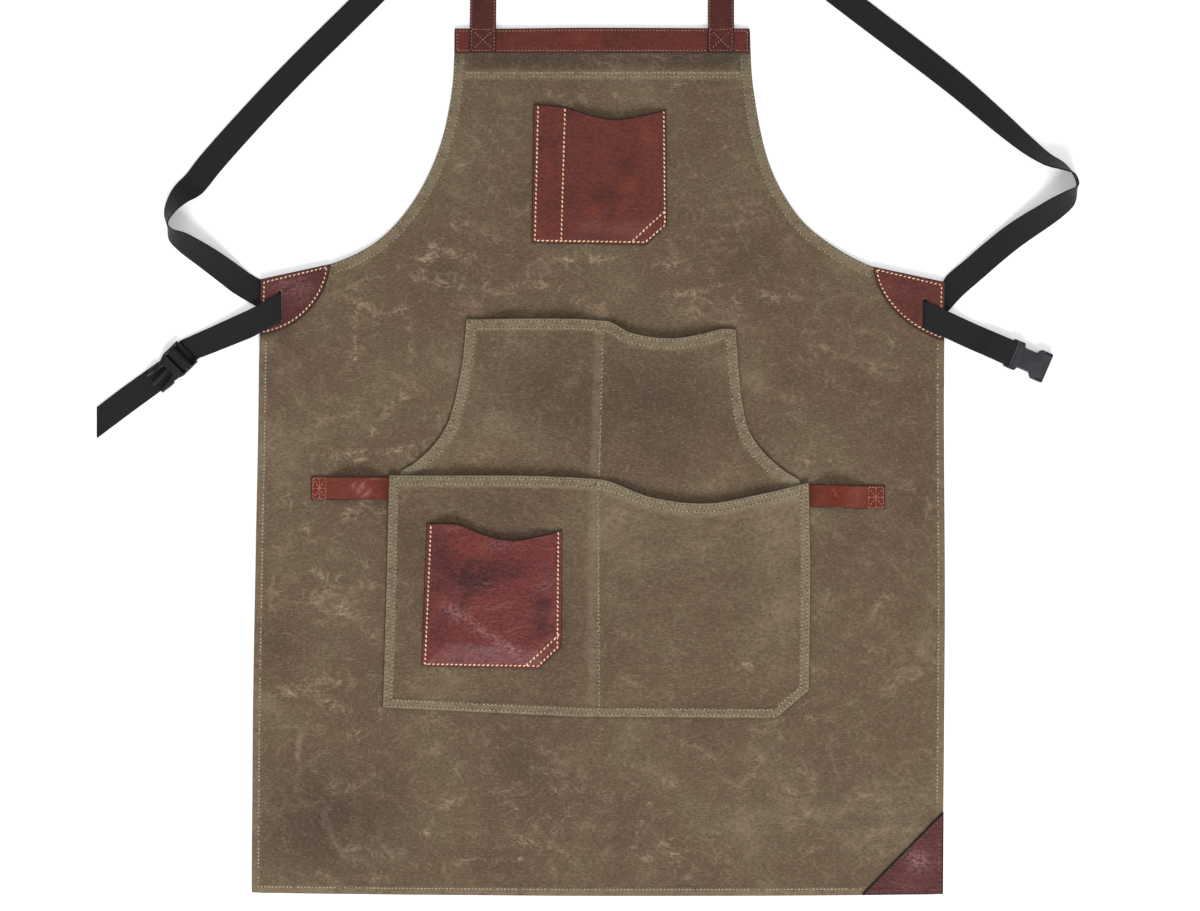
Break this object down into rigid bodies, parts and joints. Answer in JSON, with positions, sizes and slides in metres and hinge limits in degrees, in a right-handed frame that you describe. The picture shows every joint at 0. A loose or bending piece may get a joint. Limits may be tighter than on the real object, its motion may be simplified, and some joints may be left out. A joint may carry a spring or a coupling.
{
  "type": "waxed canvas apron",
  "caption": "Bib work apron of waxed canvas with leather pockets, loops and patches, cross-back webbing straps and an open side-release buckle, laid flat face up.",
  "frame": {"origin": "middle of the apron's back face, on the surface that it lies on", "axes": "+X across the apron to the viewer's right, +Y from the hem up to the bib, +Z out of the front face"},
  "size_m": [0.9756, 1.2311, 0.0255],
  "materials": {
    "waxed_canvas": "waxed cotton duck, matt with pale rub marks where the wax is creased",
    "pocket_leather": "red-brown pull-up leather, satin, mottled, cream thread",
    "trim_leather": "red-brown strap leather, satin, thread of the same tone",
    "black_webbing": "black woven webbing, matt",
    "black_plastic": "black moulded plastic, fine satin grain"
  },
  "bodies": {
    "root": {"apron_body": "waxed_canvas", "upper_pocket": "waxed_canvas", "lower_pocket": "waxed_canvas", "chest_pocket": "pocket_leather", "patch_pocket": "pocket_leather", "top_band": "trim_leather", "shoulder_strap_left": "trim_leather", "shoulder_strap_right": "trim_leather", "tool_loop_left": "trim_leather", "tool_loop_right": "trim_leather", "side_patch_left": "pocket_leather", "side_patch_right": "pocket_leather", "corner_patch": "pocket_leather", "webbing_left": "black_webbing", "webbing_right": "black_webbing", "buckle_plug": "black_plastic", "buckle_socket": "black_plastic"}
  },
  "joints": []
}
